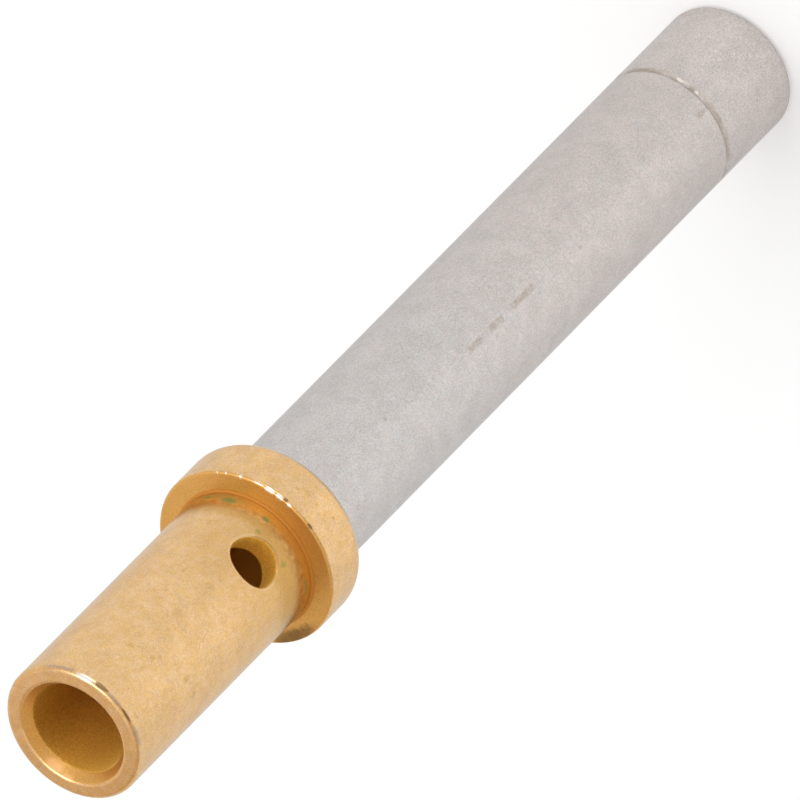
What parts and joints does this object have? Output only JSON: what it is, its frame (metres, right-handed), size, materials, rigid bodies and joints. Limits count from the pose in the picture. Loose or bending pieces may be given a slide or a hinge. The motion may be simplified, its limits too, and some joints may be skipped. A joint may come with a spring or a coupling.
{
  "type": "crimp socket contact",
  "caption": "Round crimp socket contact with a wire barrel, an inspection hole, a shoulder flange and a steel hood over slotted spring tines.",
  "frame": {"origin": "centre of the nose face, on which the contact stands", "axes": "+Z along the contact's axis from the nose to the wire mouth; -Y towards the inspection hole"},
  "size_m": [0.0034, 0.0034, 0.0213],
  "materials": {
    "gold_plate": "satin gold plating on a turned copper alloy",
    "stainless": "dull drawn stainless steel"
  },
  "bodies": {
    "root": {"contact_body": "gold_plate", "hood": "stainless"}
  },
  "joints": []
}
